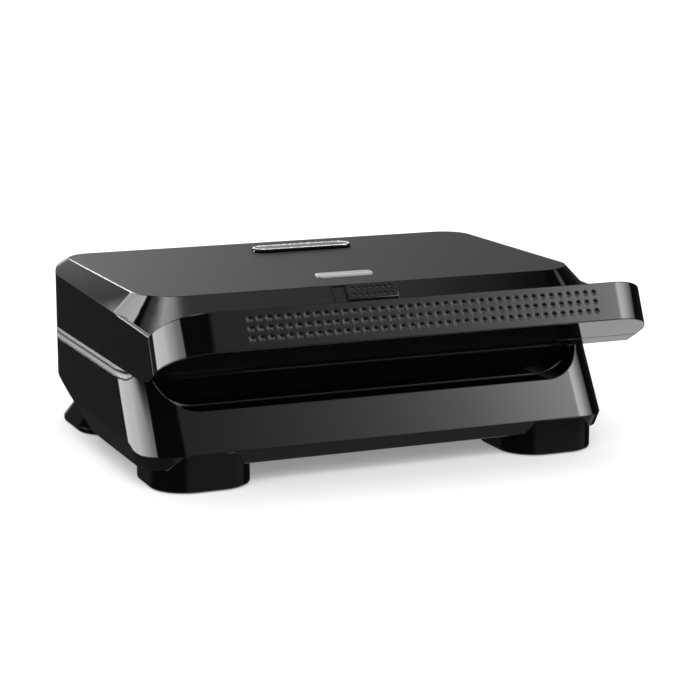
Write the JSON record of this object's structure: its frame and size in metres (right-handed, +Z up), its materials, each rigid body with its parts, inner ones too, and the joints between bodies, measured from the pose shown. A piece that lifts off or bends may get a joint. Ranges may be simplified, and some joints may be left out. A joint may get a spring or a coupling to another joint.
{
  "type": "sandwich maker",
  "caption": "Hinged contact toaster with triangular-pocket plates, full-width wing handle, sliding latch, indicator lens and broad feet.",
  "frame": {"origin": "on the floor under the middle of the closed object's bounding box", "axes": "+X to the right along the handle, +Y from the handle to the hinges at the back, +Z up"},
  "size_m": [0.3, 0.27, 0.111],
  "materials": {
    "gloss_black": "high-gloss black sides, satin top",
    "satin_black": "semi-gloss black",
    "matte_black": "matt black heat-proof plastic",
    "coated_plate": "dark non-stick coating",
    "element_steel": "dull steel",
    "bright_sheet": "bright sheet",
    "block_white": "off-white",
    "soft_rubber": "soft black",
    "lens_silver": "silver-white translucent",
    "board_green": "circuit board",
    "hinge_steel": "brushed",
    "bead_metal": "satin light grey"
  },
  "bodies": {
    "base": {"base_housing": "gloss_black", "base_floor": "matte_black", "base_frame": "matte_black", "lower_plate": "coated_plate", "lower_heater": "element_steel", "lower_reflector": "bright_sheet", "lower_thermostat": "element_steel", "thermal_fuse": "element_steel", "terminal_block": "block_white", "cord_gland": "soft_rubber", "front_left_foot": "satin_black", "front_left_foot_pad": "soft_rubber", "front_right_foot": "satin_black", "front_right_foot_pad": "soft_rubber", "rear_left_foot": "satin_black", "rear_left_foot_pad": "soft_rubber", "rear_right_foot": "satin_black", "rear_right_foot_pad": "soft_rubber", "left_hinge_bracket": "hinge_steel", "left_hinge_pin": "hinge_steel", "base_left_bead": "bead_metal", "right_hinge_bracket": "hinge_steel", "right_hinge_pin": "hinge_steel", "base_right_bead": "bead_metal"},
    "lid": {"lid_cover": "gloss_black", "handle_bar": "gloss_black", "lid_frame": "matte_black", "upper_plate": "coated_plate", "upper_heater": "element_steel", "upper_reflector": "bright_sheet", "upper_thermostat": "element_steel", "indicator_lens": "lens_silver", "lamp_board": "board_green", "lid_plaque": "satin_black", "left_hinge_arm": "hinge_steel", "right_hinge_arm": "hinge_steel", "lid_left_bead": "bead_metal", "lid_right_bead": "bead_metal"},
    "latch": {"latch_slider": "satin_black", "latch_carriage": "matte_black"}
  },
  "joints": [
    {"name": "lid_hinge", "type": "hinge", "parent": "base", "child": "lid", "pos_m": [0, 0.1305, 0.0668], "axis": [-1, 0, 0], "range_deg": [0, 100]},
    {"name": "latch_slide", "type": "slide", "parent": "lid", "child": "latch", "axis": [-1, 0, 0], "range_m": [0, 0.008]}
  ]
}
